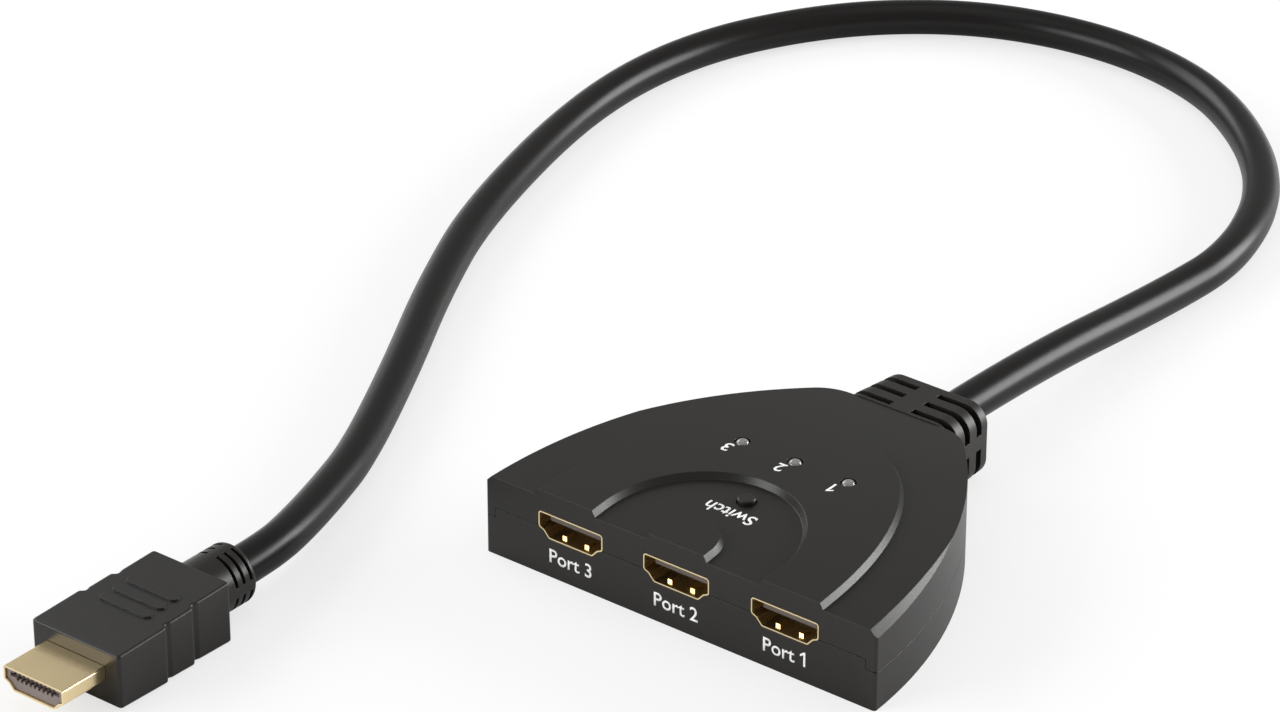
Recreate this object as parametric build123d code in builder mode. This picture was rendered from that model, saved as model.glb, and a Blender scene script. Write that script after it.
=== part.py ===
from build123d import *
from math import pi, radians, sqrt, tan
import os

os.makedirs("parts", exist_ok=True)

# A three-way video switch box: three sockets in the wide front face, a select button and
# three lamps on top, and a fixed cable with a plug. Millimetres, +Z up. The origin is on
# the floor, midway along the case and its strain relief, and -Y is the socket side.

# Case, a fan shape that narrows from the socket face to the nose
body_width = 86.0
body_depth = 64.2
rim_height = 15.71
crown_rise = 1.08
bevel = 1.4
bevel_runout = 3.36
wall = 1.9
floor_thickness = 1.8
roof_thickness = 1.9
nose_width = 28.2
nose_radius = 9.0
corner_radius = 0.6
flank_width_share = 0.828
flank_depth_share = 0.4984

# Seam between base and lid, which steps up to a tab in the front wall
side_seam_height = 7.54
front_seam_height = 9.5
seam_gap = 0.15
tab_inset = 2.1
tab_clearance = 0.1

# Raised band on the lid between two arches, and a small raised bump inside the inner arch
band_height = 1.22
slope_width = 0.70
outer_arch_half = 31.68
outer_arch_centre = 2.8
outer_arch_apex = 50.6
inner_arch_half = 18.06
inner_arch_centre = 3.8
inner_arch_apex = 24.5
bump_half = 6.65
bump_centre = 2.5
bump_apex = 9.9

# Sockets, with the standard mouth of this connector
socket_pitch_share = 0.27454
socket_height = 10.21
mouth_width = 14.0
mouth_height = 4.55
mouth_corner = 0.4
bottom_share = 0.686
shoulder_share = 0.85
side_share = 0.615
shoulder_drop_share = 0.105
socket_sheet = 0.25
socket_depth = 11.5
socket_clearance = 0.1
block_depth = 4.0
block_clearance = 0.05
tongue_width = 11.6
tongue_thickness = 1.1
tongue_rise = 0.75
tongue_recess = 1.6
contact_pitch = 1.0
contact_width = 0.45
contact_thickness = 0.12
contact_recess = 0.35
upper_contacts = 10
lower_contacts = 9
spring_width = 0.9
spring_length = 2.2
spring_thickness = 0.45
spring_recess = 1.5
spring_spacing = 5.0

# Circuit board
board_thickness = 1.2
board_margin = 0.6
board_wall_gap = 0.4

# Screws from below, through base and board into the lid
screw_side_inset = 7.4
screw_front_inset = 14.0
screw_rear_x = 16.5
screw_rear_inset = 16.2
screw_shank_radius = 1.0
screw_head_radius = 2.0
screw_head_height = 1.4
screw_length = 9.0
screw_clearance = 0.25
pilot_clearance = 0.05
counterbore_depth = 2.2
base_boss_radius = 3.2
lid_boss_radius = 2.5
boss_gap = 0.1
pilot_spare = 1.0
drive_radius = 0.75
drive_depth = 0.8

# Select button and the switch under it
button_depth_share = 0.3092
button_radius = 1.7
button_hole_radius = 1.88
button_proud = 0.85
button_edge = 0.2
button_flange_radius = 2.9
button_flange_height = 0.6
button_travel = 0.3
button_roof_gap = 0.1
switch_width = 6.0
switch_height = 3.4
switch_corner = 0.4
switch_well_radius = 2.6
switch_floor = 0.9
cover_thickness = 0.3
plunger_radius = 1.7
plunger_flange_radius = 2.4
plunger_cover_gap = 0.1
plunger_clearance = 0.08
dome_radius = 2.2
dome_flat_height = 0.4
dome_sheet = 0.15
dome_top_radius = 0.8

# Lamps, each a clear round-topped lens in a hole through the band
lamp_pitch = 11.75
lamp_shift = -0.5
lamp_depth_share = 0.5366
lamp_hole_radius = 1.5
lamp_radius = 1.42
lamp_flange_radius = 1.9
lamp_flange_height = 1.0
lamp_length = 5.4
lamp_proud = 0.45
lead_spacing = 2.54
lead_radius = 0.25
lead_clearance = 0.05

# Chips on the board
switch_chip_width = 9.0
switch_chip_core_gap = 1.5
controller_chip_length = 5.0
controller_chip_width = 4.0
controller_chip_screw_gap = 14.0
chip_height = 1.4
chip_edge = 0.2
passive_length = 1.6
passive_width = 0.8
passive_height = 0.7
passive_spacing = 3.0
passive_y = 27.5
capacitor_x = 17.0
resistor_x = -17.0
passives_in_a_row = 4
passive_rows = 2

# Strain relief at the nose: a slotted block outside, a neck through the wall, a flange inside
relief_length = 12.7
relief_front_width = 24.4
relief_back_width = 22.8
relief_top_front = 15.9
relief_top_back = 15.2
relief_bottom = 0.4
relief_corner = 4.0
relief_edge = 0.6
neck_radius = 5.5
neck_clearance = 0.1
flange_width = 14.0
flange_height = 10.6
flange_thickness = 2.0
flange_gap = 0.2
slot_count = 3
slot_width = 1.7
slot_pitch = 4.0
slot_depth = 1.6
first_slot = 1.5
top_rib_width = 4.5
side_rib_height = 2.9
side_rib_centre = 8.75

# Cable, at its full length as it lies on the floor; x and y of each point, then its height
cable_diameter = 7.5
cable_exit_height = 7.6
cable_route = [
    (0.0, 66.0, 7.6),
    (1.0, 110.0, 3.9),
    (2.0, 136.0, 3.8),
    (-10.0, 166.5, 3.8),
    (-35.0, 190.7, 3.8),
    (-59.5, 200.7, 3.8),
    (-85.0, 200.7, 3.8),
    (-108.0, 192.0, 3.8),
    (-127.6, 173.0, 3.8),
    (-140.7, 144.0, 3.8),
    (-140.7, 108.2, 3.8),
    (-126.0, 57.0, 3.8),
    (-111.0, 26.0, 3.8),
    (-95.0, -2.0, 3.8),
    (-79.5, -31.5, 3.9),
    (-73.5, -47.0, 4.6),
    (-68.8, -60.5, 5.4),
]
cable_lead_in = 9.0
arc_share = 0.45

# Cable cores inside the case, from the flange down to the board
core_radius = 0.6
core_spacing = 1.6
core_count = 5
core_lead = 2.6
core_drop_length = 4.0
core_pad_length = 3.0
core_bend_radius = 2.0
board_flange_gap = 6.1

# Plug, resting on its grip's rear end, where the grip is at its tallest
plug_x = -66.05
plug_y = -118.76
plug_turn = 0.3
shell_width = 13.9
shell_height = 4.45
shell_sheet = 0.35
shell_reach = 10.3
shell_inside = 6.0
plug_block_recess = 0.4
plug_slot_width = 11.4
plug_slot_height = 0.8
plug_notch_width = 0.55
plug_notch_depth = 0.5
grip_front_height = 10.4
grip_rear_height = 11.9
grip_half = 10.2
grip_length = 29.1
grip_shoulder = 11.6
grip_waist_inset = 0.95
grip_middle_inset = 0.6
grip_middle_start = 13.4
grip_middle_end = 18.9
grip_second_waist_inset = 1.6
grip_rear_inset = 1.25
grip_rear_start = 20.9
grip_waist_step = 0.8
grip_corner = 0.7
grip_edge = 0.5
rib_length = 11.8
rib_width = 2.2
rib_height = 0.3
rib_count = 3
rib_pitch = 3.35
first_rib = 12.7
tail_radius = 5.8
tail_length = 10.3
tail_edge = 0.8
tail_slot_depth = 1.0
tail_slot_width = 0.7
tail_slot_pitch = 1.85
first_tail_slot = 4.85
tail_rib_width = 2.0
can_width = 15.0
can_height = 7.0
can_length = 13.0
can_sheet = 0.3
can_setback = 2.0
can_clearance = 0.05

# Small length by which a cut passes the surface it opens
overrun = 1.0

# Heights and places worked out from the sizes above
half_width = body_width/2
front_y = -(body_depth + relief_length)/2
nose_y = front_y + body_depth
middle_y = front_y + body_depth/2
button_y = front_y + body_depth*button_depth_share
lamp_y = front_y + body_depth*lamp_depth_share
socket_pitch = body_width*socket_pitch_share
back_y = nose_y + relief_length
ceiling_height = rim_height - roof_thickness
board_top = socket_height - mouth_height/2 - socket_sheet
board_bottom = board_top - board_thickness
crown_radius = (body_depth/2)**2/(2*crown_rise) + crown_rise/2
top_height = rim_height + crown_rise + band_height
slope_rate = slope_width/band_height
core_start_y = nose_y - wall - flange_gap - flange_thickness
core_end_y = core_start_y - core_lead - core_drop_length - core_pad_length
plug_height = grip_rear_height/2
grip_rate = (grip_rear_height - grip_front_height)/(2*grip_length)


def crown_height(y):
    """Height of the lid's long front-to-back curve at a place along Y."""
    return rim_height + crown_rise - crown_radius + sqrt(crown_radius**2 - (y - middle_y)**2)


def write(piece, name):
    """Label a finished piece and write it as its own file."""
    piece.part.label = name
    export_step(piece.part, f"parts/{name}.step")


def grown(face, amount):
    """A copy of a flat outline, larger or smaller by the same amount all round."""
    with BuildSketch() as copy:
        offset(face, amount=amount)
    return copy.sketch


def space_under_crown(lift):
    """Everything under the crowned top when that is raised by a height."""
    first_y = front_y - overrun
    last_y = nose_y + overrun
    middle = (middle_y, crown_height(middle_y) + lift)
    with BuildPart() as space:
        with BuildSketch(Plane.YZ):
            with BuildLine():
                Polyline((first_y, crown_height(first_y) + lift), (first_y, -overrun),
                         (last_y, -overrun), (last_y, crown_height(last_y) + lift))
                ThreePointArc((first_y, crown_height(first_y) + lift), middle,
                              (last_y, crown_height(last_y) + lift))
            make_face()
        extrude(amount=body_width, both=True)
    return space.part


def long_outline():
    """Case outline from above, whose sides run on straight ahead of the front face."""
    corner = (half_width, front_y)
    flank = (half_width*flank_width_share, front_y + body_depth*flank_depth_share)
    nose = (nose_width/2, nose_y)
    with BuildSketch() as outline:
        with BuildLine():
            side = ThreePointArc(corner, flank, nose)
            ahead = side @ 0 - (side % 0)*body_depth/4
            Line(corner, ahead)
            Line(nose, (0, nose_y))
            Line(ahead, (0, ahead.Y))
            mirror(about=Plane.YZ)
        make_face()
        fillet(outline.vertices().group_by(Axis.Y)[-1], nose_radius)
    return outline.sketch


def connector_profile(width, height):
    """The standard mouth's outline: square above, then drawn in over two slants each side."""
    side_end = height*(0.5 - side_share)
    shoulder_end = side_end - height*shoulder_drop_share
    with BuildSketch() as profile:
        with BuildLine():
            Polyline((0, height/2), (width/2, height/2), (width/2, side_end),
                     (width*shoulder_share/2, shoulder_end), (width*bottom_share/2, -height/2),
                     (0, -height/2))
            mirror(about=Plane.YZ)
        make_face()
        fillet(profile.vertices().filter_by(lambda corner: abs(corner.X) > width/4), mouth_corner)
    return profile.sketch


def arch_solid(half, centre, apex, lean):
    """Arch running out through the front; lean is 1 if it narrows going up, -1 if it widens."""
    low = rim_height - roof_thickness/2
    with BuildPart() as arch:
        for height in (low, top_height + overrun):
            inset = lean*(height - rim_height)*slope_rate
            side = half - inset
            rise = apex - centre - inset
            start_y = front_y - overrun
            centre_y = front_y + centre
            with BuildSketch(Plane.XY.offset(height)):
                with BuildLine():
                    Polyline((-side, centre_y), (-side, start_y), (side, start_y), (side, centre_y))
                    EllipticalCenterArc((0, centre_y), side, rise, arc_size=180)
                make_face()
        loft(ruled=True)
    return arch.part


# Outlines that several pieces share
extended_outline = long_outline()
with BuildSketch() as case_outline:
    add(extended_outline)
    with Locations((0, front_y + body_depth)):
        Rectangle(2*body_width, 2*body_depth, mode=Mode.INTERSECT)
    fillet(case_outline.vertices().group_by(Axis.Y)[0], corner_radius)
cavity_outline = grown(case_outline.sketch, -wall)
board_outline = grown(cavity_outline, -board_margin)

mouth = connector_profile(mouth_width, mouth_height)
socket_outline = grown(mouth, socket_sheet)
socket_hole = grown(socket_outline, socket_clearance)

socket_places = {"3": -socket_pitch, "2": 0, "1": socket_pitch}
lamp_places = {"3": lamp_shift - lamp_pitch, "2": lamp_shift, "1": lamp_shift + lamp_pitch}
screw_places = [(side*x, y) for side in (-1, 1)
                for x, y in ((half_width - screw_side_inset, front_y + screw_front_inset),
                             (screw_rear_x, nose_y - screw_rear_inset))]
lamp_top = crown_height(lamp_y) + band_height + lamp_proud


def socket_plane(x, depth=0):
    """Upright plane of a socket, facing out of the front, at a depth behind the front face."""
    return Plane(origin=(x, front_y + depth, socket_height), x_dir=(1, 0, 0), z_dir=(0, -1, 0))


# Lid, with the raised band, holes and screw bosses
crown_space = space_under_crown(0)
band_space = space_under_crown(band_height)
outer_arch = arch_solid(outer_arch_half, outer_arch_centre, outer_arch_apex, 1)
inner_arch = arch_solid(inner_arch_half, inner_arch_centre, inner_arch_apex, -1)
bump = arch_solid(bump_half, bump_centre, bump_apex, 1)

with BuildPart() as case_prism:
    with BuildSketch():
        add(case_outline.sketch)
    extrude(amount=top_height + overrun)

with BuildPart() as raised_band:
    add(outer_arch)
    add(inner_arch, mode=Mode.SUBTRACT)
    add(bump)
    add(band_space, mode=Mode.INTERSECT)
    add(case_prism.part, mode=Mode.INTERSECT)

# The side bevel starts a little under the rim in front and runs out about midway along
bevel_tilt = (bevel + bevel_runout)/body_depth
bevel_start = Plane(origin=(0, 0, rim_height - bevel - front_y*bevel_tilt), x_dir=(1, 0, 0),
                    z_dir=(0, -bevel_tilt, 1))
bevel_reach = bevel + crown_rise + overrun
with BuildPart() as bevel_space:
    with BuildSketch(bevel_start.offset(-overrun)):
        Rectangle(2*body_width, 3*body_depth)
    extrude(amount=-rim_height)
    with BuildSketch(bevel_start.offset(-overrun)):
        add(grown(extended_outline, overrun))
    with BuildSketch(bevel_start.offset(bevel_reach)):
        add(grown(extended_outline, -bevel_reach))
    loft(ruled=True)

with BuildPart() as lid_shell:
    with BuildSketch(Plane.XY.offset(side_seam_height + seam_gap)):
        add(case_outline.sketch)
    extrude(amount=rim_height)
    add(crown_space, mode=Mode.INTERSECT)
    add(bevel_space.part, mode=Mode.INTERSECT)
    add(raised_band.part)
    with BuildSketch(Plane.XY.offset(side_seam_height)):
        add(cavity_outline)
    extrude(amount=ceiling_height - side_seam_height, mode=Mode.SUBTRACT)
    with BuildSketch(Plane.XY.offset(side_seam_height)):
        with Locations((0, front_y + wall/2)):
            Rectangle(body_width - 2*tab_inset, wall + 2*tab_clearance)
    extrude(amount=front_seam_height + seam_gap - side_seam_height, mode=Mode.SUBTRACT)
    with BuildSketch(Plane.XY.offset(ceiling_height - overrun)):
        with Locations(*[(x, lamp_y) for x in lamp_places.values()]):
            Circle(lamp_hole_radius)
        with Locations((0, button_y)):
            Circle(button_hole_radius)
    extrude(amount=top_height, mode=Mode.SUBTRACT)
    with BuildSketch(Plane.XY.offset(board_top + boss_gap)):
        with Locations(*screw_places):
            Circle(lid_boss_radius)
    extrude(amount=ceiling_height - board_top - boss_gap + roof_thickness/2)
    with BuildSketch(Plane.XY.offset(board_top + boss_gap)):
        with Locations(*screw_places):
            Circle(screw_shank_radius + pilot_clearance)
    pilot_top = counterbore_depth + screw_length + pilot_spare
    extrude(amount=pilot_top - board_top - boss_gap, mode=Mode.SUBTRACT)
    for x in socket_places.values():
        with BuildSketch(socket_plane(x, -overrun)):
            add(socket_hole)
        extrude(amount=-(wall + 2*overrun), mode=Mode.SUBTRACT)
    with BuildSketch(Plane.XZ.offset(-nose_y - overrun)):
        with Locations((0, cable_exit_height)):
            Circle(neck_radius + neck_clearance)
    extrude(amount=wall + 2*overrun, mode=Mode.SUBTRACT)
write(lid_shell, "lid_shell")

# Base, with the front tab, counterbored bosses and the lower halves of the openings
with BuildPart() as base_shell:
    with BuildSketch():
        add(case_outline.sketch)
    extrude(amount=side_seam_height)
    with BuildSketch(Plane.XY.offset(floor_thickness)):
        add(cavity_outline)
    extrude(amount=side_seam_height, mode=Mode.SUBTRACT)
    with BuildSketch(Plane.XY.offset(side_seam_height - overrun)):
        with Locations((0, front_y + wall/2)):
            Rectangle(body_width - 2*tab_inset - 2*tab_clearance, wall)
    extrude(amount=front_seam_height - side_seam_height + overrun)
    with BuildSketch():
        with Locations(*screw_places):
            Circle(base_boss_radius)
    extrude(amount=board_bottom)
    with BuildSketch():
        with Locations(*screw_places):
            Circle(screw_head_radius + screw_clearance)
    extrude(amount=counterbore_depth, mode=Mode.SUBTRACT)
    with BuildSketch():
        with Locations(*screw_places):
            Circle(screw_shank_radius + screw_clearance)
    extrude(amount=board_top, mode=Mode.SUBTRACT)
    for x in socket_places.values():
        with BuildSketch(socket_plane(x, -overrun)):
            add(socket_hole)
        extrude(amount=-(wall + 2*overrun), mode=Mode.SUBTRACT)
    with BuildSketch(Plane.XZ.offset(-nose_y - overrun)):
        with Locations((0, cable_exit_height)):
            Circle(neck_radius + neck_clearance)
    extrude(amount=wall + 2*overrun, mode=Mode.SUBTRACT)
write(base_shell, "base_shell")

# Screws: a round head with a drive recess, and a plain shank
with BuildPart() as case_screws:
    head_bottom = counterbore_depth - screw_head_height
    with BuildSketch(Plane.XY.offset(head_bottom)):
        with Locations(*screw_places):
            Circle(screw_head_radius)
    extrude(amount=screw_head_height)
    with BuildSketch(Plane.XY.offset(counterbore_depth)):
        with Locations(*screw_places):
            Circle(screw_shank_radius)
    extrude(amount=screw_length)
    with BuildSketch(Plane.XY.offset(head_bottom)):
        with Locations(*screw_places):
            RegularPolygon(drive_radius, 6)
    extrude(amount=drive_depth, mode=Mode.SUBTRACT)
write(case_screws, "case_screws")

# Circuit board, resting on the base bosses and clear of the walls
with BuildPart() as circuit_board:
    with BuildSketch(Plane.XY.offset(board_bottom)):
        add(board_outline)
        with Locations((0, front_y + wall + board_wall_gap + body_depth)):
            Rectangle(2*body_width, 2*body_depth, mode=Mode.INTERSECT)
        with Locations((0, core_start_y - board_flange_gap - body_depth)):
            Rectangle(2*body_width, 2*body_depth, mode=Mode.INTERSECT)
        with Locations(*screw_places):
            Circle(screw_shank_radius + screw_clearance, mode=Mode.SUBTRACT)
        lead_places = [(x + side*lead_spacing/2, lamp_y)
                       for x in lamp_places.values() for side in (-1, 1)]
        with Locations(*lead_places):
            Circle(lead_radius + lead_clearance, mode=Mode.SUBTRACT)
    extrude(amount=board_thickness)
write(circuit_board, "circuit_board")

# Sockets: a folded metal shell with spring tabs, a moulded tongue and its contacts
contact_row_half = tongue_thickness/2 + contact_thickness/2
for number, x in socket_places.items():
    with BuildPart() as socket_shell:
        with BuildSketch(socket_plane(x)):
            add(socket_outline)
            add(mouth, mode=Mode.SUBTRACT)
        extrude(amount=-socket_depth)
        tab_side = mouth_height/2 - spring_thickness/2
        with BuildSketch(socket_plane(x, spring_recess)):
            with Locations((-spring_spacing/2, -tab_side), (spring_spacing/2, -tab_side),
                           (-spring_spacing/2, tab_side), (spring_spacing/2, tab_side)):
                Rectangle(spring_width, spring_thickness)
        extrude(amount=-spring_length)
    write(socket_shell, f"socket_shell_{number}")

    with BuildPart() as socket_insulator:
        with BuildSketch(socket_plane(x, socket_depth - block_depth)):
            add(grown(mouth, -block_clearance))
        extrude(amount=-block_depth)
        with BuildSketch(socket_plane(x, tongue_recess)):
            with Locations((0, tongue_rise)):
                Rectangle(tongue_width, tongue_thickness)
        extrude(amount=-(socket_depth - block_depth - tongue_recess))
    write(socket_insulator, f"socket_insulator_{number}")

    with BuildPart() as socket_contacts:
        with BuildSketch(socket_plane(x, tongue_recess + contact_recess)):
            with Locations((0, tongue_rise + contact_row_half)):
                with GridLocations(contact_pitch, contact_pitch, upper_contacts, 1):
                    Rectangle(contact_width, contact_thickness)
            with Locations((0, tongue_rise - contact_row_half)):
                with GridLocations(contact_pitch, contact_pitch, lower_contacts, 1):
                    Rectangle(contact_width, contact_thickness)
        extrude(amount=-(socket_depth - block_depth - tongue_recess - contact_recess))
    write(socket_contacts, f"socket_contacts_{number}")

# Push switch under the button: moulded body, metal cover, snap dome and plunger
switch_place = Plane(origin=(0, button_y, board_top))
cover_bottom = switch_height - cover_thickness
dome_seat = switch_floor
plunger_bottom = dome_seat + dome_flat_height + button_travel
plunger_flange_height = cover_bottom - plunger_bottom - plunger_cover_gap
plunger_top = ceiling_height - button_roof_gap - button_flange_height - board_top

with BuildPart() as switch_body:
    with BuildSketch(switch_place):
        RectangleRounded(switch_width, switch_width, switch_corner)
    extrude(amount=cover_bottom)
    with BuildSketch(switch_place.offset(switch_floor)):
        Circle(switch_well_radius)
    extrude(amount=cover_bottom, mode=Mode.SUBTRACT)
write(switch_body, "switch_body")

with BuildPart() as switch_cover:
    with BuildSketch(switch_place.offset(cover_bottom)):
        RectangleRounded(switch_width, switch_width, switch_corner)
        Circle(plunger_radius + plunger_clearance, mode=Mode.SUBTRACT)
    extrude(amount=cover_thickness)
write(switch_cover, "switch_cover")

with BuildPart() as switch_dome:
    with BuildSketch(Plane(origin=(0, button_y, board_top), x_dir=(1, 0, 0), z_dir=(0, -1, 0))):
        with BuildLine():
            Polyline((dome_radius, dome_seat), (dome_top_radius, plunger_bottom), (0, plunger_bottom),
                     (0, plunger_bottom - dome_sheet), (dome_top_radius, plunger_bottom - dome_sheet),
                     (dome_radius - dome_sheet, dome_seat), (dome_radius, dome_seat))
        make_face()
    revolve(axis=Axis((0, button_y, 0), (0, 0, 1)))
write(switch_dome, "switch_dome")

with BuildPart() as switch_plunger:
    with BuildSketch(switch_place.offset(plunger_bottom)):
        Circle(plunger_flange_radius)
    extrude(amount=plunger_flange_height)
    with BuildSketch(switch_place.offset(plunger_bottom)):
        Circle(plunger_radius)
    extrude(amount=plunger_top - plunger_bottom)
write(switch_plunger, "switch_plunger")

with BuildPart() as select_button:
    button_top = crown_height(button_y) + button_proud
    with BuildSketch(switch_place.offset(plunger_top)):
        Circle(button_flange_radius)
    extrude(amount=button_flange_height)
    with BuildSketch(switch_place.offset(plunger_top)):
        Circle(button_radius)
    extrude(amount=button_top - board_top - plunger_top)
    chamfer(select_button.faces().sort_by(Axis.Z)[-1].edges(), button_edge)
write(select_button, "select_button")

# Lamps: a flanged lens with a round top, on two leads that stand in the board
lens_bottom = lamp_top - lamp_length
for number, x in lamp_places.items():
    with BuildPart() as lamp:
        with BuildSketch(Plane.XY.offset(lens_bottom)):
            with Locations((x, lamp_y)):
                Circle(lamp_radius)
        extrude(amount=lamp_length - lamp_radius)
        with Locations((x, lamp_y, lamp_top - lamp_radius)):
            Sphere(lamp_radius)
        with BuildSketch(Plane.XY.offset(lens_bottom - lamp_flange_height)):
            with Locations((x, lamp_y)):
                Circle(lamp_flange_radius)
        extrude(amount=lamp_flange_height)
    write(lamp, f"led_{number}")

with BuildPart() as led_leads:
    with BuildSketch(Plane.XY.offset(board_bottom)):
        with Locations(*lead_places):
            Circle(lead_radius)
    extrude(amount=lens_bottom - lamp_flange_height - board_bottom)
write(led_leads, "led_leads")

# Chips and small parts on the board
with BuildPart() as switch_chip:
    with BuildSketch(Plane.XY.offset(board_top)):
        with Locations((0, core_end_y - switch_chip_core_gap - switch_chip_width/2)):
            Rectangle(switch_chip_width, switch_chip_width)
    extrude(amount=chip_height)
    chamfer(switch_chip.faces().sort_by(Axis.Z)[-1].edges(), chip_edge)
write(switch_chip, "switch_chip")

with BuildPart() as controller_chip:
    with BuildSketch(Plane.XY.offset(board_top)):
        with Locations((screw_rear_x, nose_y - screw_rear_inset - controller_chip_screw_gap)):
            Rectangle(controller_chip_length, controller_chip_width)
    extrude(amount=chip_height)
    chamfer(controller_chip.faces().sort_by(Axis.Z)[-1].edges(), chip_edge)
write(controller_chip, "controller_chip")

for name, x in (("chip_capacitors", capacitor_x), ("chip_resistors", resistor_x)):
    with BuildPart() as passives:
        with BuildSketch(Plane.XY.offset(board_top)):
            with Locations((x, front_y + passive_y)):
                with GridLocations(passive_spacing, passive_spacing, passives_in_a_row, passive_rows):
                    Rectangle(passive_length, passive_width)
        extrude(amount=passive_height)
    write(passives, name)

# Strain relief: a tapered block with slots that leave ribs, a neck and an inner flange
with BuildPart() as strain_relief:
    for y, width, top in ((nose_y, relief_front_width, relief_top_front),
                          (back_y, relief_back_width, relief_top_back)):
        with BuildSketch(Plane.XZ.offset(-y)):
            with Locations((0, (top + relief_bottom)/2)):
                RectangleRounded(width, top - relief_bottom, relief_corner)
    loft(ruled=True)
    fillet(strain_relief.faces().sort_by(Axis.Y)[-1].edges(), relief_edge)
    middle_height = (relief_top_front + relief_bottom)/2
    slot_core_width = relief_back_width - 2*slot_depth
    slot_core_height = relief_top_back - relief_bottom - 2*slot_depth
    for index in range(slot_count):
        slot_y = nose_y + first_slot + index*slot_pitch
        with BuildSketch(Plane.XZ.offset(-slot_y + slot_width/2)):
            with Locations((0, middle_height)):
                Rectangle(body_width, 2*rim_height)
            with Locations((0, (relief_top_back + relief_bottom)/2)):
                RectangleRounded(slot_core_width, slot_core_height, relief_corner - slot_depth,
                                 mode=Mode.SUBTRACT)
            with Locations((0, middle_height)):
                Rectangle(top_rib_width, 3*rim_height, mode=Mode.SUBTRACT)
            with Locations((0, side_rib_centre)):
                Rectangle(2*body_width, side_rib_height, mode=Mode.SUBTRACT)
        extrude(amount=-slot_width, mode=Mode.SUBTRACT)
    with BuildSketch(Plane.XZ.offset(-nose_y)):
        with Locations((0, cable_exit_height)):
            Circle(neck_radius)
    extrude(amount=wall + flange_gap)
    with BuildSketch(Plane.XZ.offset(-nose_y + wall + flange_gap)):
        with Locations((0, cable_exit_height)):
            Rectangle(flange_width, flange_height)
    extrude(amount=flange_thickness)
write(strain_relief, "strain_relief")

# Cable cores: thin wires from the flange to pads at the board's rear edge
with BuildPart() as cable_cores:
    core_low = board_top + core_radius
    core_high = cable_exit_height + core_spacing
    for index in range(core_count):
        x = (index - (core_count - 1)/2)*core_spacing
        with BuildLine():
            wire = FilletPolyline((x, core_start_y, core_high), (x, core_start_y - core_lead, core_high),
                                  (x, core_end_y + core_pad_length, core_low), (x, core_end_y, core_low),
                                  radius=core_bend_radius)
        with BuildSketch(Plane(origin=wire @ 0, z_dir=wire % 0)):
            Circle(core_radius)
        sweep(path=wire)
write(cable_cores, "cable_cores")

# Plug. Distances along it count back from the grip's front face, towards the cable
turn = radians(plug_turn)
plug_face = Plane(origin=(plug_x, plug_y, plug_height), x_dir=(1, tan(turn), 0), z_dir=(tan(turn), -1, 0))
plug_floor = Plane(origin=(plug_x, plug_y, 0), x_dir=(1, tan(turn), 0), z_dir=(0, 0, 1))
plug_side = Plane(origin=plug_face.origin, x_dir=(-tan(turn), 1, 0), z_dir=(1, tan(turn), 0))
grip_top = Plane(origin=(plug_x, plug_y, plug_height + grip_front_height/2), x_dir=(1, tan(turn), 0),
                 z_dir=(grip_rate*tan(turn), -grip_rate, 1))
shell_outline = connector_profile(shell_width, shell_height)
shell_inner = grown(shell_outline, -shell_sheet)

with BuildPart() as plug_shell:
    with BuildSketch(plug_face.offset(shell_reach)):
        add(shell_outline)
        add(shell_inner, mode=Mode.SUBTRACT)
    extrude(amount=-(shell_reach + shell_inside))
write(plug_shell, "plug_shell")

# The moulded block has a slot for the socket's tongue, with a notch for each contact
contact_rows = ((1, upper_contacts), (-1, lower_contacts))
block_face = plug_face.offset(shell_reach - plug_block_recess)
notch_side = plug_slot_height/2 + plug_notch_depth/2
with BuildPart() as plug_insulator:
    with BuildSketch(block_face):
        add(grown(shell_inner, -block_clearance))
    extrude(amount=-(shell_reach - plug_block_recess + shell_inside))
    with BuildSketch(block_face):
        with Locations((0, tongue_rise)):
            Rectangle(plug_slot_width, plug_slot_height)
        for side, count in contact_rows:
            with Locations((0, tongue_rise + side*notch_side)):
                with GridLocations(contact_pitch, contact_pitch, count, 1):
                    Rectangle(plug_notch_width, plug_notch_depth)
    extrude(amount=-(shell_reach - plug_block_recess - shell_sheet), mode=Mode.SUBTRACT)
write(plug_insulator, "plug_insulator")

with BuildPart() as plug_contacts:
    contact_side = plug_slot_height/2 + plug_notch_depth - contact_thickness/2
    with BuildSketch(block_face.offset(-contact_recess)):
        for side, count in contact_rows:
            with Locations((0, tongue_rise + side*contact_side)):
                with GridLocations(contact_pitch, contact_pitch, count, 1):
                    Rectangle(contact_width, contact_thickness)
    extrude(amount=-(shell_reach - plug_block_recess - contact_recess - shell_sheet))
write(plug_contacts, "plug_contacts")

with BuildPart() as plug_shield_can:
    with BuildSketch(plug_face.offset(-can_setback)):
        Rectangle(can_width, can_height)
    extrude(amount=-can_length)
    with BuildSketch(plug_face.offset(-can_setback - can_sheet)):
        Rectangle(can_width - 2*can_sheet, can_height - 2*can_sheet)
    extrude(amount=-(can_length - 2*can_sheet), mode=Mode.SUBTRACT)
    with BuildSketch(plug_face.offset(-can_setback + overrun)):
        add(grown(shell_outline, can_clearance))
    extrude(amount=-(can_sheet + 2*overrun), mode=Mode.SUBTRACT)
write(plug_shield_can, "plug_shield_can")

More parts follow.
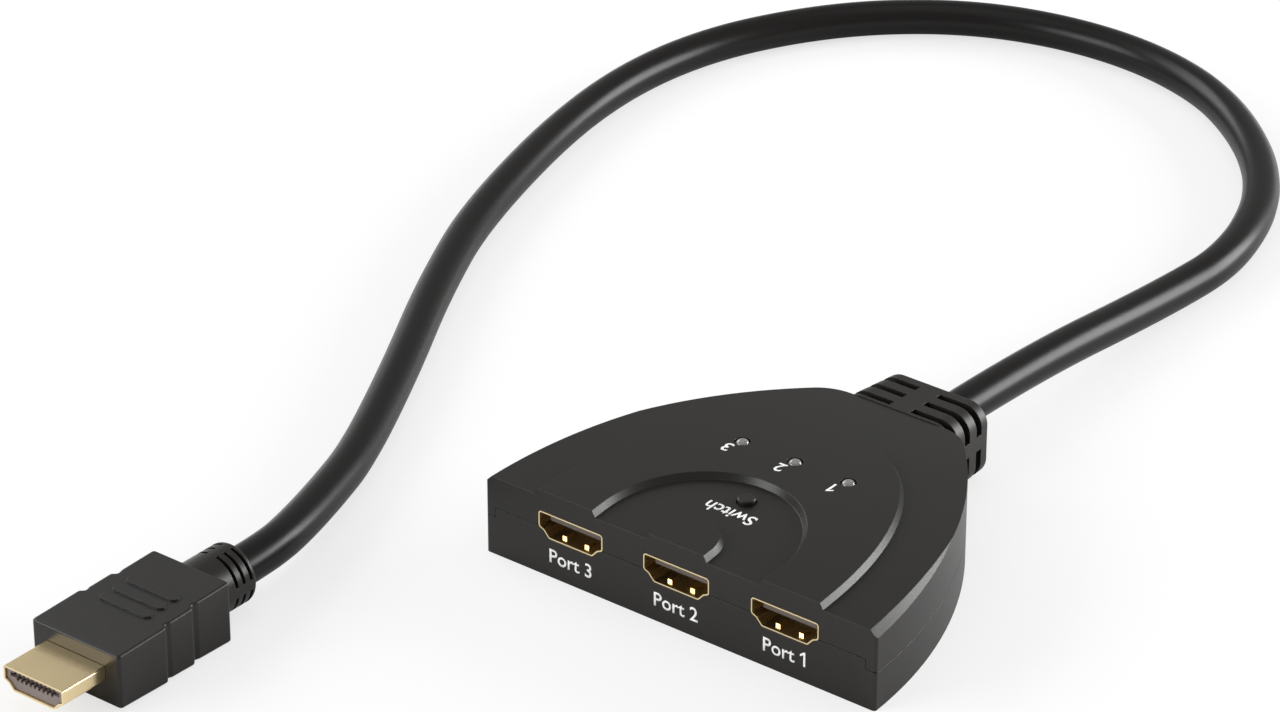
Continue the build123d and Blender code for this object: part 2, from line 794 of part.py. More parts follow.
# The grip grows taller to the rear, with two finger waists, low ribs on top and a slotted tail
grip_middle_half = grip_half - grip_middle_inset
grip_rear_half = grip_half - grip_rear_inset
side_points = [(grip_half, 0), (grip_half, grip_shoulder),
               (grip_half - grip_waist_inset, grip_shoulder + grip_waist_step),
               (grip_middle_half, grip_middle_start), (grip_middle_half, grip_middle_end),
               (grip_half - grip_second_waist_inset, grip_middle_end + grip_waist_step),
               (grip_rear_half, grip_rear_start), (grip_rear_half, grip_length)]
with BuildPart() as plug_grip:
    with BuildSketch(plug_floor) as grip_plan:
        with BuildLine():
            Polyline((0, 0), *side_points, (0, grip_length))
            mirror(about=Plane.YZ)
        make_face()
        fillet(grip_plan.vertices().filter_by(lambda point: abs(point.X) > grip_half/2), grip_corner)
    extrude(amount=grip_rear_height)
    with BuildSketch(plug_side):
        with BuildLine():
            Polyline((0, grip_front_height/2), (0, -grip_front_height/2),
                     (grip_length, -grip_rear_height/2), (grip_length, grip_rear_height/2), close=True)
        make_face()
    extrude(amount=2*grip_half, both=True, mode=Mode.INTERSECT)
    for face in (plug_grip.faces().sort_by(Axis.Z)[0], plug_grip.faces().sort_by(Axis.Z)[-1]):
        fillet(face.edges(), grip_edge)
    with BuildSketch(plug_face.offset(-grip_length)):
        Circle(tail_radius)
    extrude(amount=-tail_length)
    fillet(plug_grip.faces().sort_by(Axis(plug_face.origin, -plug_face.z_dir))[-1].edges(), tail_edge)
    for index in range(rib_count):
        with BuildSketch(grip_top.offset(-rib_height)):
            with Locations((0, first_rib + index*rib_pitch)):
                SlotOverall(rib_length, rib_width)
        extrude(amount=2*rib_height)
    for index in range(slot_count):
        slot_start = grip_length + first_tail_slot + index*tail_slot_pitch
        with BuildSketch(plug_face.offset(-slot_start)):
            Circle(tail_radius + overrun)
            Circle(tail_radius - tail_slot_depth, mode=Mode.SUBTRACT)
            Rectangle(tail_rib_width, 3*tail_radius, mode=Mode.SUBTRACT)
            Rectangle(3*tail_radius, tail_rib_width, mode=Mode.SUBTRACT)
        extrude(amount=-tail_slot_width, mode=Mode.SUBTRACT)
    with BuildSketch(plug_face.offset(-can_setback + can_clearance)):
        Rectangle(can_width + 2*can_clearance, can_height + 2*can_clearance)
    extrude(amount=-(can_length + 2*can_clearance), mode=Mode.SUBTRACT)
    with BuildSketch(plug_face.offset(overrun)):
        add(grown(shell_outline, can_clearance))
    extrude(amount=-(can_setback + overrun), mode=Mode.SUBTRACT)
write(plug_grip, "plug_grip")

# Cable: straight runs joined by tangent arcs, each as large as its two runs allow
tail_end = grip_length + tail_length
cable_points = [Vector(0, back_y, cable_exit_height)] + [Vector(*point) for point in cable_route]
cable_points += [plug_face.offset(-tail_end - cable_lead_in).origin, plug_face.offset(-tail_end).origin]
cable_radii = []
for before, point, after in zip(cable_points, cable_points[1:], cable_points[2:]):
    half_turn = radians((point - before).get_angle(after - point))/2
    shorter_run = min((point - before).length, (after - point).length)
    cable_radii.append(arc_share*shorter_run/tan(half_turn))

with BuildPart() as cable:
    with BuildLine():
        centre_line = FilletPolyline(*cable_points, radius=cable_radii)
    with BuildSketch(Plane(origin=centre_line @ 0, z_dir=centre_line % 0)):
        Circle(cable_diameter/2)
    sweep(path=centre_line)
write(cable, "cable")

print("cable radii", [round(radius) for radius in cable_radii])
print("cable length", round(centre_line.length, 1))
print("cable volume over section times length",
      round(cable.part.volume/(pi*cable_diameter**2/4*centre_line.length), 4))
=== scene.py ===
import bpy
from math import radians
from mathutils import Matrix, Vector
from mathutils.bvhtree import BVHTree


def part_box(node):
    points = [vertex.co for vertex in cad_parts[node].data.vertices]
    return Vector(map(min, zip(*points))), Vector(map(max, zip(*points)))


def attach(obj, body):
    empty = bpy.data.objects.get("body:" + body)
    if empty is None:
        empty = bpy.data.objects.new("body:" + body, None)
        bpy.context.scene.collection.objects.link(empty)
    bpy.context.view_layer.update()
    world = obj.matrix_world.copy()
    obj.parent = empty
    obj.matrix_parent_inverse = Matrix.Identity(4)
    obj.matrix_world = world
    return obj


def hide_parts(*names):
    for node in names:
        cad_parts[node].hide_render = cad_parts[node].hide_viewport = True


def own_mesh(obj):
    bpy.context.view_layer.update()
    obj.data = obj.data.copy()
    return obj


bl_info = {
    "name": "Video switch box",
    "version": (1, 0, 0),
    "blender": (4, 5, 0),
    "location": "View3D > Sidebar > Switch Box",
    "description": "Dresses the CAD model of a three-way video switch box",
    "category": "Object",
}

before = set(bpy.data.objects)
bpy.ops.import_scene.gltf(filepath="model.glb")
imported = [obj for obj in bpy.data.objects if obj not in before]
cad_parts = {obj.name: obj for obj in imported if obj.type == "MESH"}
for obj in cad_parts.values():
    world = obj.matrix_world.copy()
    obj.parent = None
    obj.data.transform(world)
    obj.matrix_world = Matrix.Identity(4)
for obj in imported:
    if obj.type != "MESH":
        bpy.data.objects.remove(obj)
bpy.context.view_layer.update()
MM = 0.001
# The numbers of the sockets and of the lamps
NUMBERS = ("3", "2", "1")
# Radius over which a moulded edge is shaded round, as a mould's edges are never quite sharp
EDGE_ROUNDING = 0.2*MM
# Size in millimetres of the faint clouds in a moulded piece's colour, and how far they vary it
CLOUD_MM = 18.0
CLOUD_SPREAD = 0.12
# How far a mould's grain varies the roughness, and how deep the grain is
GRAIN_POLISH = 0.05
GRAIN_DEPTH = 0.02*MM
# Scale of the streaks' texture along each axis, and how strong and how deep the streaks are
STREAK_STRETCH = (1.0, 0.08, 1.0)
STREAK_RELIEF = 0.06
STREAK_DEPTH = 0.01*MM
# Steps in each stretch of the cable, fineness of its round section, steps in a letter's curve
CABLE_STEPS = 16
CABLE_ROUNDNESS = 8
LETTER_STEPS = 6
# Height of a capital, in units of the font
CAPITAL = 0.73
# Outline of a plain figure one, in units of the font, and its gap from the word before it
ONE_OUTLINE = [(0.31, 0.0), (0.31, CAPITAL), (0.23, CAPITAL), (0.02, 0.57), (0.02, 0.46),
               (0.20, 0.585), (0.20, 0.0)]
ONE_GAP = 0.28
# Gap between the object's foot and the floor, so that the two don't lie in one plane
FLOOR_GAP = 0.02*MM
# Share of plain white glow in the floor as the camera sees it; the light rays see none
FLOOR_GLOW = 0.7
# Height from which rays are cast down on the lid, well above it
RAY_START = 1.0
# Strength of the even light that falls on the object from all round
EVEN_LIGHT = 0.42
# The softboxes' names, places, sizes and powers in watts
SOFTBOXES = (
    ("back_right_softbox", (0.72, 1.02, 0.34), (0.9, 0.6), 20.0),
    ("overhead_softbox", (-0.1, -0.1, 1.5), (1.3, 1.3), 3.0),
    ("front_left_softbox", (-0.9, -1.3, 0.7), (1.0, 0.8), 16.0),
    ("left_softbox", (-1.3, 0.2, 0.7), (0.9, 0.7), 8.0),
)


def linear(hex_colour):
    """A colour written as sRGB hex, as the linear values that Blender's sockets take."""
    shades = [int(hex_colour[start:start + 2], 16)/255 for start in (1, 3, 5)]
    return [shade/12.92 if shade <= 0.04045 else ((shade + 0.055)/1.055)**2.4 for shade in shades]


def add_node(material, kind, settings=None, inputs=None):
    """Adds a node; each input, by name or number, takes a value or a link from another node."""
    tree = material.node_tree
    node = tree.nodes.new(kind)
    for name, value in (settings or {}).items():
        setattr(node, name, value)
    for name, value in (inputs or {}).items():
        if isinstance(value, bpy.types.NodeSocket):
            tree.links.new(value, node.inputs[name])
        else:
            node.inputs[name].default_value = value
    return node


def new_material(name):
    """An empty node material, ready for its own nodes."""
    material = bpy.data.materials.new(name)
    material.use_nodes = True
    material.node_tree.nodes.clear()
    return material


def per_metre(size_mm):
    """Texture scale at which a pattern's cells are about this many millimetres wide."""
    return 1/(size_mm*MM)


def moulded(name, colour, roughness, grain_mm, relief, specular=0.5, rounding=EDGE_ROUNDING):
    """Plastic out of a mould: one colour through and through, and the mould's fine grain on it."""
    material = new_material(name)
    place = add_node(material, "ShaderNodeTexCoord").outputs["Object"]
    grain = add_node(material, "ShaderNodeTexNoise", {},
                     {"Vector": place, "Scale": per_metre(grain_mm), "Detail": 3.0,
                      "Roughness": 0.6})
    flow = add_node(material, "ShaderNodeTexNoise", {},
                    {"Vector": place, "Scale": per_metre(CLOUD_MM), "Detail": 2.0})
    tone = add_node(material, "ShaderNodeMix", {"data_type": "RGBA"},
                    {"Factor": flow.outputs["Fac"]})
    tone.inputs["A"].default_value = [*[(1 - CLOUD_SPREAD)*shade for shade in colour], 1]
    tone.inputs["B"].default_value = [*[min(1, (1 + CLOUD_SPREAD)*shade) for shade in colour], 1]
    polish = add_node(material, "ShaderNodeMapRange", {},
                      {"Value": grain.outputs["Fac"], "To Min": roughness - GRAIN_POLISH,
                       "To Max": roughness + GRAIN_POLISH})
    edge = add_node(material, "ShaderNodeBevel", {"samples": 4}, {"Radius": rounding})
    bump = add_node(material, "ShaderNodeBump", {},
                    {"Height": grain.outputs["Fac"], "Strength": relief, "Distance": GRAIN_DEPTH,
                     "Normal": edge.outputs["Normal"]})
    shader = add_node(material, "ShaderNodeBsdfPrincipled", {},
                      {"Base Color": tone.outputs["Result"],
                       "Roughness": polish.outputs["Result"],
                       "Normal": bump.outputs["Normal"], "Specular IOR Level": specular})
    add_node(material, "ShaderNodeOutputMaterial", {}, {"Surface": shader.outputs["BSDF"]})
    return material


def plated(name, colour, roughness, streak_mm, streaks):
    """Metal sheet with a plated skin, drawn or stamped, so its gloss has faint long streaks."""
    material = new_material(name)
    place = add_node(material, "ShaderNodeTexCoord").outputs["Object"]
    along = add_node(material, "ShaderNodeMapping", {},
                     {"Vector": place, "Scale": STREAK_STRETCH})
    drawn = add_node(material, "ShaderNodeTexNoise", {},
                     {"Vector": along.outputs["Vector"], "Scale": per_metre(streak_mm),
                      "Detail": 4.0})
    polish = add_node(material, "ShaderNodeMapRange", {},
                      {"Value": drawn.outputs["Fac"], "To Min": roughness - streaks,
                       "To Max": roughness + streaks})
    bump = add_node(material, "ShaderNodeBump", {},
                    {"Height": drawn.outputs["Fac"], "Strength": STREAK_RELIEF,
                     "Distance": STREAK_DEPTH})
    shader = add_node(material, "ShaderNodeBsdfPrincipled", {},
                      {"Base Color": [*colour, 1], "Metallic": 1.0,
                       "Roughness": polish.outputs["Result"],
                       "Normal": bump.outputs["Normal"]})
    add_node(material, "ShaderNodeOutputMaterial", {}, {"Surface": shader.outputs["BSDF"]})
    return material


def satin_abs(colour):
    """ABS from a spark-eroded mould: dark grey with a satin sheen that lights up on its slopes."""
    return moulded("satin_moulded_abs", colour,
                   roughness=0.34, grain_mm=0.35, relief=0.10, specular=0.35)


def soft_pvc(colour):
    """Flexible PVC moulded over the cable's end: a little duller than the hard case."""
    return moulded("matt_moulded_soft_pvc", colour,
                   roughness=0.44, grain_mm=0.45, relief=0.12, specular=0.35)


def extruded_pvc(colour):
    """PVC jacket drawn through a die: black-grey with a soft gloss and a faint orange peel."""
    return moulded("extruded_pvc_jacket", colour,
                   roughness=0.30, grain_mm=1.2, relief=0.10, specular=0.2)


def moulded_lcp(colour):
    """Liquid-crystal polymer of tongues and blocks: flat, brownish and slightly mottled."""
    return moulded("moulded_lcp", colour,
                   roughness=0.55, grain_mm=0.3, relief=0.10)


def moulded_epoxy(colour):
    """Epoxy moulding compound of a chip: charcoal with the mould's coarse matt grain."""
    return moulded("moulded_chip_epoxy", colour,
                   roughness=0.62, grain_mm=0.12, relief=0.25)


def glazed_dielectric(colour):
    """Fired ceramic of a chip capacitor: warm tan and faintly glossy."""
    return moulded("fired_capacitor_ceramic", colour,
                   roughness=0.35, grain_mm=0.15, relief=0.05)


def core_polyethylene(colour):
    """Extruded polyethylene on a wire core: milky and soft to look at."""
    return moulded("extruded_core_polyethylene", colour,
                   roughness=0.40, grain_mm=0.6, relief=0.05)


def solder_mask(colour):
    """Sprayed solder mask over fibreglass: glossy green that shows the weave beneath."""
    return moulded("sprayed_solder_mask", colour,
                   roughness=0.22, grain_mm=0.8, relief=0.15)


def printed_ink(colour):
    """Pad-printed white ink: opaque and matt, a hair thick."""
    return moulded("pad_printed_white_ink", colour,
                   roughness=0.50, grain_mm=0.12, relief=0.05, specular=0.3, rounding=0.0)


def flash_gold(colour):
    """Thin gold plated on stamped sheet: pale yellow, bright and slightly streaked."""
    return plated("flash_gold_plated_sheet", colour,
                  roughness=0.24, streak_mm=0.6, streaks=0.05)


def contact_gold(colour):
    """Gold on the contact strips: as the shell's, but duller from the strip's small size."""
    return plated("gold_plated_contact_strip", colour,
                  roughness=0.32, streak_mm=0.4, streaks=0.05)


def bright_steel(colour):
    """Zinc-plated and tinned steel of screws, leads, dome and covers: silvery, lightly drawn."""
    return plated("zinc_plated_steel", colour,
                  roughness=0.30, streak_mm=0.5, streaks=0.06)


def cast_epoxy_lens(colour):
    """Clear epoxy cast round a small lamp: milky grey while unlit, with a wet gloss."""
    material = new_material("cast_clear_epoxy_lens")
    place = add_node(material, "ShaderNodeTexCoord").outputs["Object"]
    haze = add_node(material, "ShaderNodeTexNoise", {},
                    {"Vector": place, "Scale": per_metre(1.2), "Detail": 2.0})
    tone = add_node(material, "ShaderNodeMix", {"data_type": "RGBA"},
                    {"Factor": haze.outputs["Fac"]})
    tone.inputs["A"].default_value = [*[0.75*shade for shade in colour], 1]
    tone.inputs["B"].default_value = [*colour, 1]
    shader = add_node(material, "ShaderNodeBsdfPrincipled", {},
                      {"Base Color": tone.outputs["Result"], "Roughness": 0.12, "IOR": 1.54,
                       "Transmission Weight": 0.35, "Coat Weight": 0.5, "Coat Roughness": 0.05})
    add_node(material, "ShaderNodeOutputMaterial", {}, {"Surface": shader.outputs["BSDF"]})
    return material


def finish_node(name, material):
    """Gives a CAD node its material on every slot it has."""
    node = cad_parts[name]
    if not node.material_slots:
        node.data.materials.append(material)
    for slot in node.material_slots:
        slot.material = material


def deselect_all():
    """Clears the selection, because operators act on all that is selected."""
    bpy.ops.object.select_all(action="DESELECT")


class StageSizes(bpy.types.PropertyGroup):
    """The camera, and the floor and lights round the object."""
    camera_place: bpy.props.FloatVectorProperty(
        name="Camera place", description="Where the camera stands", subtype="TRANSLATION",
        default=(0.48168, -0.64765, 0.47253))
    camera_tilt: bpy.props.FloatProperty(
        name="Camera tilt", description="Angle up from straight down", subtype="ANGLE",
        default=radians(61.67))
    camera_turn: bpy.props.FloatProperty(
        name="Camera turn", description="Angle about the vertical", subtype="ANGLE",
        default=radians(38.79))
    lens: bpy.props.FloatProperty(
        name="Lens", description="Focal length in millimetres", default=147.05)
    floor_width: bpy.props.FloatProperty(
        name="Floor width", description="Side of the square floor", unit="LENGTH", default=8.0)
    floor_colour: bpy.props.FloatVectorProperty(
        name="Floor colour", description="Colour of the floor", subtype="COLOR",
        default=linear("#f4f4f4"))


class CordSizes(bpy.types.PropertyGroup):
    """The cable, from the strain relief to the plug."""
    diameter: bpy.props.FloatProperty(
        name="Cable diameter", description="Outer diameter of the jacket", unit="LENGTH",
        default=7.5*MM)
    length: bpy.props.FloatProperty(
        name="Cable length", description="Free length from strain relief to plug", unit="LENGTH",
        default=0.537)
    colour: bpy.props.FloatVectorProperty(
        name="Jacket colour", description="Colour of the cable's jacket", subtype="COLOR",
        default=linear("#151312"))


class LetterSizes(bpy.types.PropertyGroup):
    """The printed words and numbers."""
    height: bpy.props.FloatProperty(
        name="Letter height", description="Height of capitals and numbers", unit="LENGTH",
        default=2.85*MM)
    thickness: bpy.props.FloatProperty(
        name="Ink thickness", description="How proud the ink stands", unit="LENGTH",
        default=0.03*MM)
    lamp_height: bpy.props.FloatProperty(
        name="Lamp number height", description="Height of the lamps' numbers", unit="LENGTH",
        default=2.9*MM)
    lamp_side_gap: bpy.props.FloatProperty(
        name="Lamp number shift", description="Shift of a number to the lamp's side", unit="LENGTH",
        default=0.9*MM)
    button_height: bpy.props.FloatProperty(
        name="Button word height", description="Height of the word's capital", unit="LENGTH",
        default=3.0*MM)
    boldness: bpy.props.FloatProperty(
        name="Boldness", description="Share of the letter height added to each stroke's side",
        default=0.01)
    front_baseline: bpy.props.FloatProperty(
        name="Front baseline", description="Height of the words under the sockets", unit="LENGTH",
        default=3.1*MM)
    lamp_gap: bpy.props.FloatProperty(
        name="Lamp number gap", description="From a lamp's centre to its number's", unit="LENGTH",
        default=3.4*MM)
    button_gap: bpy.props.FloatProperty(
        name="Button word gap", description="From the button's centre to the word's", unit="LENGTH",
        default=4.9*MM)
    colour: bpy.props.FloatVectorProperty(
        name="Ink colour", description="Colour of the ink", subtype="COLOR",
        default=linear("#fafaf8"))


class PartColours(bpy.types.PropertyGroup):
    """Colours of the moulded, plated and printed pieces."""
    case: bpy.props.FloatVectorProperty(
        name="Case", description="Hard plastic of the case and button", subtype="COLOR",
        default=linear("#1d1b19"))
    relief: bpy.props.FloatVectorProperty(
        name="Soft plastic", description="Strain relief and grip", subtype="COLOR",
        default=linear("#1d1b19"))
    gold: bpy.props.FloatVectorProperty(
        name="Gold", description="Plated shells", subtype="COLOR", default=linear("#f6e0b0"))
    insulator: bpy.props.FloatVectorProperty(
        name="Insulator", description="Tongues and blocks", subtype="COLOR",
        default=linear("#5c534e"))
    plug_insulator: bpy.props.FloatVectorProperty(
        name="Plug insulator", description="Block inside the plug", subtype="COLOR",
        default=linear("#7d716d"))
    steel: bpy.props.FloatVectorProperty(
        name="Steel", description="Screws, leads and covers", subtype="COLOR",
        default=linear("#c9c9c6"))
    board: bpy.props.FloatVectorProperty(
        name="Board", description="Solder mask", subtype="COLOR", default=linear("#1f6b3c"))
    chip: bpy.props.FloatVectorProperty(
        name="Chip", description="Chip mouldings", subtype="COLOR", default=linear("#232323"))
    capacitor: bpy.props.FloatVectorProperty(
        name="Capacitor", description="Chip capacitors", subtype="COLOR", default=linear("#b08d63"))
    core: bpy.props.FloatVectorProperty(
        name="Core", description="Wire insulation", subtype="COLOR", default=linear("#d8d6cd"))
    lens: bpy.props.FloatVectorProperty(
        name="Lens", description="Lamp lenses", subtype="COLOR", default=linear("#a09f9a"))


# Route of the cable in metres, as in the part's source: the exit, points chosen along the
# floor, and the last run, which lies in line with the plug
CABLE_ROUTE = [
    (0.0, 0.03845, 0.0076),
    (0.0, 0.0660, 0.0076),
    (0.0010, 0.1100, 0.0039),
    (0.0020, 0.1360, 0.0038),
    (-0.0100, 0.1665, 0.0038),
    (-0.0350, 0.1907, 0.0038),
    (-0.0595, 0.2007, 0.0038),
    (-0.0850, 0.2007, 0.0038),
    (-0.1080, 0.1920, 0.0038),
    (-0.1276, 0.1730, 0.0038),
    (-0.1407, 0.1440, 0.0038),
    (-0.1407, 0.1082, 0.0038),
    (-0.1260, 0.0570, 0.0038),
    (-0.1110, 0.0260, 0.0038),
    (-0.0950, -0.0020, 0.0038),
    (-0.0795, -0.0315, 0.0039),
    (-0.0735, -0.0470, 0.0046),
    (-0.0688, -0.0605, 0.0054),
    (-0.06630, -0.07036, 0.00595),
    (-0.06626, -0.07936, 0.00595),
]


class SWITCHBOX_OT_stage(bpy.types.Operator):
    """Sets the camera, the white floor and the studio lights"""
    bl_idname = "switchbox.stage"
    bl_label = "Camera, floor and lights"

    def execute(self, context):
        sizes = context.scene.switch_box_stage
        deselect_all()
        bpy.ops.object.camera_add(location=sizes.camera_place,
                                  rotation=(sizes.camera_tilt, 0, sizes.camera_turn))
        camera = context.object
        camera.name = "photo_camera"
        camera.data.lens = sizes.lens
        camera.data.sensor_width = 36.0
        camera.data.clip_end = 50.0
        context.scene.camera = camera
        context.scene.view_settings.view_transform = "Standard"
        self.make_floor(sizes)
        self.make_world(context)
        for softbox in SOFTBOXES:
            self.add_softbox(*softbox)
        return {"FINISHED"}

    def make_floor(self, sizes):
        """A floor wide enough to fill the picture."""
        deselect_all()
        bpy.ops.mesh.primitive_plane_add(size=sizes.floor_width)
        floor = bpy.context.object
        floor.name = "studio_floor"
        floor.location.z = -FLOOR_GAP
        floor.data.materials.append(self.floor_paint(sizes.floor_colour))

    def floor_paint(self, colour):
        """White paper floor that stays white to the camera but keeps a faint soft shadow."""
        material = new_material("white_paper_floor")
        seen = add_node(material, "ShaderNodeLightPath")
        share = add_node(material, "ShaderNodeMath", {"operation": "MULTIPLY"},
                         {0: seen.outputs["Is Camera Ray"], 1: FLOOR_GLOW})
        paper = add_node(material, "ShaderNodeBsdfDiffuse", {}, {"Color": [*colour, 1]})
        glow = add_node(material, "ShaderNodeEmission", {},
                        {"Color": [1, 1, 1, 1], "Strength": 1.0})
        mixed = add_node(material, "ShaderNodeMixShader", {},
                         {0: share.outputs["Value"], 1: paper.outputs["BSDF"],
                          2: glow.outputs["Emission"]})
        add_node(material, "ShaderNodeOutputMaterial", {}, {"Surface": mixed.outputs["Shader"]})
        return material

    def make_world(self, context):
        """White behind the object, and a weaker even light elsewhere."""
        world = bpy.data.worlds.new("studio_world")
        world.use_nodes = True
        world.node_tree.nodes.clear()
        context.scene.world = world
        seen = add_node(world, "ShaderNodeLightPath")
        direct = add_node(world, "ShaderNodeMath", {"operation": "MAXIMUM"},
                          {0: seen.outputs["Is Camera Ray"],
                           1: seen.outputs["Is Transmission Ray"]})
        strength = add_node(world, "ShaderNodeMapRange", {},
                            {"Value": direct.outputs["Value"], "To Min": EVEN_LIGHT, "To Max": 1.0})
        sky = add_node(world, "ShaderNodeBackground", {},
                       {"Color": [1, 1, 1, 1], "Strength": strength.outputs["Result"]})
        add_node(world, "ShaderNodeOutputWorld", {}, {"Surface": sky.outputs["Background"]})

    def add_softbox(self, name, place, size, watts):
        """A rectangular lamp that faces the object."""
        deselect_all()
        bpy.ops.object.light_add(type="AREA", location=place)
        box = bpy.context.object
        box.name = name
        box.rotation_euler = (-Vector(place)).to_track_quat("-Z", "Y").to_euler()
        box.data.shape = "RECTANGLE"
        box.data.size = size[0]
        box.data.size_y = size[1]
        box.data.energy = watts


class SWITCHBOX_OT_cable(bpy.types.Operator):
    """Lays the cable from the strain relief to the plug"""
    bl_idname = "switchbox.cable"
    bl_label = "Cable"

    def execute(self, context):
        sizes = context.scene.switch_box_cord
        curve = bpy.data.curves.new("cable_jacket", "CURVE")
        curve.dimensions = "3D"
        spline = curve.splines.new("NURBS")
        spline.points.add(len(CABLE_ROUTE) - 1)
        for point, place in zip(spline.points, CABLE_ROUTE):
            point.co = (*place, 1.0)
        spline.order_u = 3
        spline.use_endpoint_u = True
        spline.resolution_u = CABLE_STEPS
        curve.bevel_depth = sizes.diameter/2
        curve.bevel_resolution = CABLE_ROUNDNESS
        curve.use_fill_caps = True
        jacket = bpy.data.objects.new("cable_jacket", curve)
        context.collection.objects.link(jacket)
        curve.materials.append(extruded_pvc(sizes.colour))
        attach(jacket, "case")
        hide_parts("cable")
        return {"FINISHED"}


class SWITCHBOX_OT_case(bpy.types.Operator):
    """Finishes the case, the button and the strain relief"""
    bl_idname = "switchbox.case"
    bl_label = "Case, button and strain relief"

    def execute(self, context):
        colours = context.scene.switch_box_colours
        shell = satin_abs(colours.case)
        for name in ("base_shell", "lid_shell", "select_button"):
            finish_node(name, shell)
        finish_node("strain_relief", soft_pvc(colours.relief))
        finish_node("case_screws", bright_steel(colours.steel))
        return {"FINISHED"}


class SWITCHBOX_OT_sockets(bpy.types.Operator):
    """Finishes the three sockets"""
    bl_idname = "switchbox.sockets"
    bl_label = "Sockets"

    def execute(self, context):
        colours = context.scene.switch_box_colours
        gold = flash_gold(colours.gold)
        strip = contact_gold(colours.gold)
        tongue = moulded_lcp(colours.insulator)
        for number in NUMBERS:
            finish_node(f"socket_shell_{number}", gold)
            finish_node(f"socket_contacts_{number}", strip)
            finish_node(f"socket_insulator_{number}", tongue)
        return {"FINISHED"}


class SWITCHBOX_OT_plug(bpy.types.Operator):
    """Finishes the plug"""
    bl_idname = "switchbox.plug"
    bl_label = "Plug"

    def execute(self, context):
        colours = context.scene.switch_box_colours
        finish_node("plug_grip", satin_abs(colours.relief))
        finish_node("plug_shell", flash_gold(colours.gold))
        finish_node("plug_contacts", contact_gold(colours.gold))
        finish_node("plug_insulator", moulded_lcp(colours.plug_insulator))
        finish_node("plug_shield_can", bright_steel(colours.steel))
        return {"FINISHED"}


class SWITCHBOX_OT_lamps(bpy.types.Operator):
    """Finishes the three lamps"""
    bl_idname = "switchbox.lamps"
    bl_label = "Lamps"

    def execute(self, context):
        lens = cast_epoxy_lens(context.scene.switch_box_colours.lens)
        for number in NUMBERS:
            finish_node(f"led_{number}", lens)
        return {"FINISHED"}


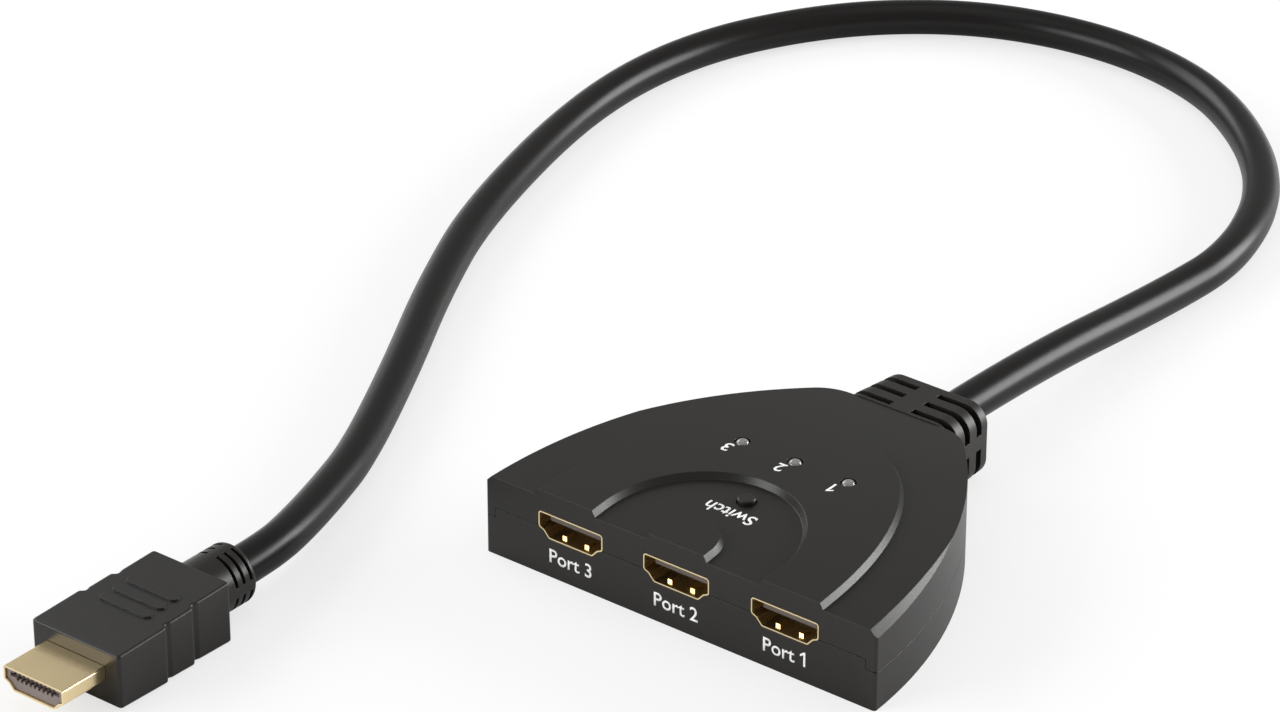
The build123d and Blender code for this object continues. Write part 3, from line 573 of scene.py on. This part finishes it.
class SWITCHBOX_OT_board(bpy.types.Operator):
    """Finishes the board, its switch and its small parts"""
    bl_idname = "switchbox.board"
    bl_label = "Board and switch"

    def execute(self, context):
        colours = context.scene.switch_box_colours
        epoxy = moulded_epoxy(colours.chip)
        steel = bright_steel(colours.steel)
        finish_node("circuit_board", solder_mask(colours.board))
        for name in ("switch_body", "switch_plunger", "switch_chip", "controller_chip",
                     "chip_resistors"):
            finish_node(name, epoxy)
        for name in ("switch_cover", "switch_dome", "led_leads"):
            finish_node(name, steel)
        finish_node("chip_capacitors", glazed_dielectric(colours.capacitor))
        finish_node("cable_cores", core_polyethylene(colours.core))
        self.press_dome()
        return {"FINISHED"}

    def press_dome(self):
        """Gives the snap dome a mesh of its own."""
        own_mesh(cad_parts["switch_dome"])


class SWITCHBOX_OT_letters(bpy.types.Operator):
    """Prints plain numbers at the lamps and plain words at the sockets and the button"""
    bl_idname = "switchbox.letters"
    bl_label = "Printed numbers and words"

    def execute(self, context):
        sizes = context.scene.switch_box_letters
        ink = printed_ink(sizes.colour)
        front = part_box("base_shell")[0].y
        for number in NUMBERS:
            low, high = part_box(f"socket_shell_{number}")
            word = self.print_word(f"socket_label_{number}", f"Port {number}", sizes.height,
                                   sizes, ink)
            middle = Vector(((low.x + high.x)/2, front, sizes.front_baseline + sizes.height/2))
            self.stand_on_front(word, middle)
        for number in NUMBERS:
            low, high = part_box(f"led_{number}")
            word = self.print_word(f"lamp_number_{number}", number, sizes.lamp_height,
                                   sizes, ink)
            self.lay_on_lid(word, (low.x + high.x)/2 - sizes.lamp_side_gap,
                            (low.y + high.y)/2 - sizes.lamp_gap)
        low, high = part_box("select_button")
        word = self.print_word("button_word", "Switch", sizes.button_height, sizes, ink)
        self.lay_on_lid(word, (low.x + high.x)/2, (low.y + high.y)/2 - sizes.button_gap)
        return {"FINISHED"}

    def print_word(self, name, words, height, sizes, ink):
        """Writes words flat on the floor about the origin, as a thin closed mesh."""
        plain = words.rstrip("1").strip()
        pieces = []
        if plain:
            pieces.append(self.write(plain, sizes))
        if words.endswith("1"):
            ends = [vertex.co.x + ONE_GAP for piece in pieces for vertex in piece.data.vertices]
            pieces.append(self.draw_one(max(ends, default=0)))
        deselect_all()
        for piece in pieces:
            piece.select_set(True)
        bpy.context.view_layer.objects.active = pieces[0]
        if len(pieces) > 1:
            bpy.ops.object.join()
        written = pieces[0]
        written.name = name
        corners = [vertex.co.copy() for vertex in written.data.vertices]
        left = min(corner.x for corner in corners)
        right = max(corner.x for corner in corners)
        scale = height/CAPITAL
        for vertex in written.data.vertices:
            vertex.co.x = (vertex.co.x - (left + right)/2)*scale
            vertex.co.y = (vertex.co.y - CAPITAL/2)*scale
            vertex.co.z = 0
        thick = written.modifiers.new("ink", "SOLIDIFY")
        thick.thickness = sizes.thickness
        thick.offset = 1
        bpy.ops.object.modifier_apply(modifier=thick.name)
        written.data.materials.clear()
        written.data.materials.append(ink)
        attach(written, "case")
        return written

    def write(self, words, sizes):
        """Flat letters in the plain font, made a mesh."""
        deselect_all()
        bpy.ops.object.text_add()
        letters = bpy.context.object
        letters.data.body = words
        letters.data.resolution_u = LETTER_STEPS
        letters.data.offset = sizes.boldness
        bpy.ops.object.convert(target="MESH")
        return bpy.context.object

    def draw_one(self, start):
        """A figure one with a flag, because the plain font's looks like a capital i."""
        deselect_all()
        bpy.ops.mesh.primitive_circle_add(vertices=len(ONE_OUTLINE), fill_type="NGON")
        one = bpy.context.object
        for index, (x, y) in zip(one.data.polygons[0].vertices, ONE_OUTLINE):
            one.data.vertices[index].co = (start + x, y, 0)
        return one

    def stand_on_front(self, word, middle):
        """Stands a word upright on the front face, about a point there."""
        for vertex in word.data.vertices:
            vertex.co = middle + Vector((vertex.co.x, -vertex.co.z, vertex.co.y))
        word.data.update()

    def lay_on_lid(self, word, x, y):
        """Turns a word to be read from the cable's side and lays each point on the lid."""
        surface = BVHTree.FromObject(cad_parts["lid_shell"],
                                     bpy.context.evaluated_depsgraph_get())
        for vertex in word.data.vertices:
            place = Vector((x - vertex.co.x, y - vertex.co.y, RAY_START))
            hit = surface.ray_cast(place, Vector((0, 0, -1)))[0]
            if hit is None:
                raise RuntimeError(f"{word.name} hangs over the lid's edge")
            vertex.co = (place.x, place.y, hit.z + vertex.co.z)
        word.data.update()


class SWITCHBOX_PT_panel(bpy.types.Panel):
    """Lists the steps that dress the model"""
    bl_idname = "SWITCHBOX_PT_panel"
    bl_label = "Switch Box"
    bl_space_type = "VIEW_3D"
    bl_region_type = "UI"
    bl_category = "Switch Box"

    def draw(self, context):
        for operator in OPERATORS:
            self.layout.operator(operator.bl_idname)


GROUPS = (StageSizes, CordSizes, LetterSizes, PartColours)
OPERATORS = (SWITCHBOX_OT_stage, SWITCHBOX_OT_cable, SWITCHBOX_OT_case, SWITCHBOX_OT_sockets,
             SWITCHBOX_OT_plug, SWITCHBOX_OT_lamps, SWITCHBOX_OT_board, SWITCHBOX_OT_letters)


def register():
    for entry in (*GROUPS, *OPERATORS, SWITCHBOX_PT_panel):
        bpy.utils.register_class(entry)
    bpy.types.Scene.switch_box_stage = bpy.props.PointerProperty(type=StageSizes)
    bpy.types.Scene.switch_box_cord = bpy.props.PointerProperty(type=CordSizes)
    bpy.types.Scene.switch_box_letters = bpy.props.PointerProperty(type=LetterSizes)
    bpy.types.Scene.switch_box_colours = bpy.props.PointerProperty(type=PartColours)


def unregister():
    for name in ("switch_box_stage", "switch_box_cord", "switch_box_letters", "switch_box_colours"):
        delattr(bpy.types.Scene, name)
    for entry in reversed((*GROUPS, *OPERATORS, SWITCHBOX_PT_panel)):
        bpy.utils.unregister_class(entry)


def main():
    register()
    bpy.ops.switchbox.stage()
    bpy.ops.switchbox.cable()
    bpy.ops.switchbox.case()
    bpy.ops.switchbox.sockets()
    bpy.ops.switchbox.plug()
    bpy.ops.switchbox.lamps()
    bpy.ops.switchbox.board()
    bpy.ops.switchbox.letters()


if __name__ == "__main__":
    main()
